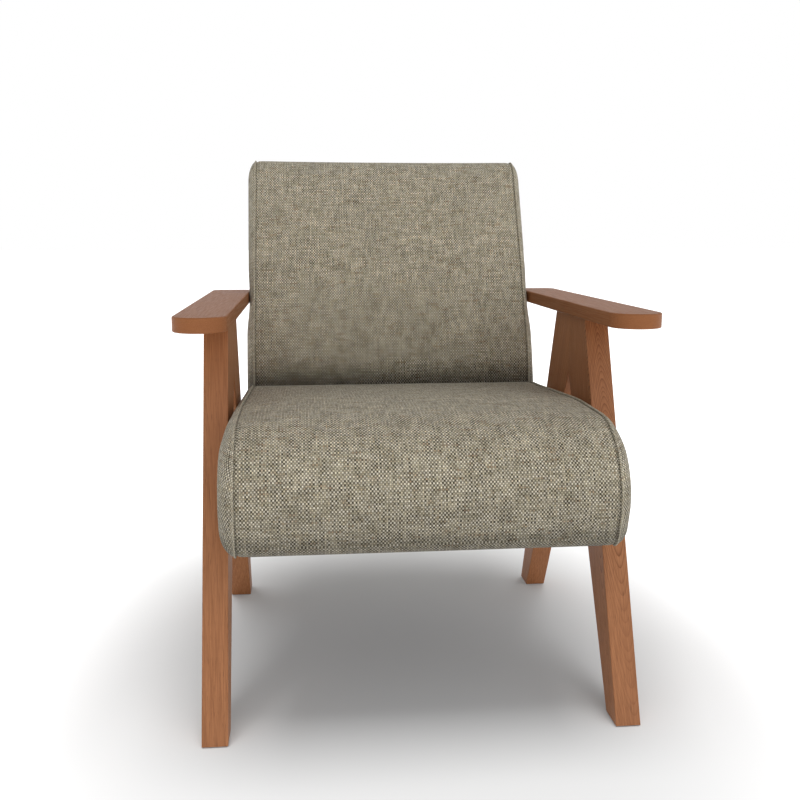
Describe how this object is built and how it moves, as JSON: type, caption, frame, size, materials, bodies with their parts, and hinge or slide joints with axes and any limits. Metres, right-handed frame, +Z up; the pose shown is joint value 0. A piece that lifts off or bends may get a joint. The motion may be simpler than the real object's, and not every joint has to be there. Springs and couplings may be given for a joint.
{
  "type": "upholstered lounge chair",
  "caption": "Upholstered lounge chair with a reclined back, a thick seat with a rounded front edge, A-shaped tapering wooden legs and flat paddle armrests.",
  "frame": {"origin": "middle of the chair's footprint box, on the floor", "axes": "+X to the right as seen from in front, +Y to the back of the chair, +Z up"},
  "size_m": [0.7028, 0.8134, 0.8735],
  "materials": {
    "show_wood": "satin reddish brown walnut tone with fine straight grain",
    "peg_wood": "plain beech",
    "glide_nylon": "matt dark brown nylon",
    "bolt_black": "satin black",
    "plated_steel": "zinc plated",
    "frame_wood": "sawn softwood",
    "spring_steel": "plain spring wire",
    "felt": "grey felt",
    "foam": "open cell foam",
    "cover_fabric": "chunky two-tone tweed in cream and olive brown",
    "dust_cloth": "thin black bonded cloth",
    "webbing": "elastic webbing",
    "backing_board": "brown board"
  },
  "bodies": {
    "root": {"front_leg_left": "show_wood", "front_leg_right": "show_wood", "back_leg_left": "show_wood", "back_leg_right": "show_wood", "armrest_left": "show_wood", "armrest_right": "show_wood", "leg_pegs": "peg_wood", "armrest_pegs": "peg_wood", "seat_rail_pegs": "peg_wood", "back_rail_pegs": "peg_wood", "foot_glides": "glide_nylon", "frame_bolts": "bolt_black", "bolt_sleeves": "plated_steel", "rail_inserts": "plated_steel", "post_screws": "plated_steel", "seat_side_rail_left": "frame_wood", "seat_side_rail_right": "frame_wood", "seat_front_rail": "frame_wood", "seat_rear_rail": "frame_wood", "corner_blocks": "frame_wood", "back_post_left": "frame_wood", "back_post_right": "frame_wood", "back_top_rail": "frame_wood", "back_bottom_rail": "frame_wood", "seat_springs": "spring_steel", "spring_clips": "spring_steel", "seat_felt": "felt", "seat_foam": "foam", "back_foam": "foam", "back_rear_padding": "foam", "seat_top_panel": "cover_fabric", "seat_side_panel_left": "cover_fabric", "seat_side_panel_right": "cover_fabric", "back_front_panel": "cover_fabric", "back_side_panel_left": "cover_fabric", "back_side_panel_right": "cover_fabric", "back_outside_panel": "cover_fabric", "dust_cover": "dust_cloth", "back_webbing": "webbing", "back_board": "backing_board"}
  },
  "joints": []
}
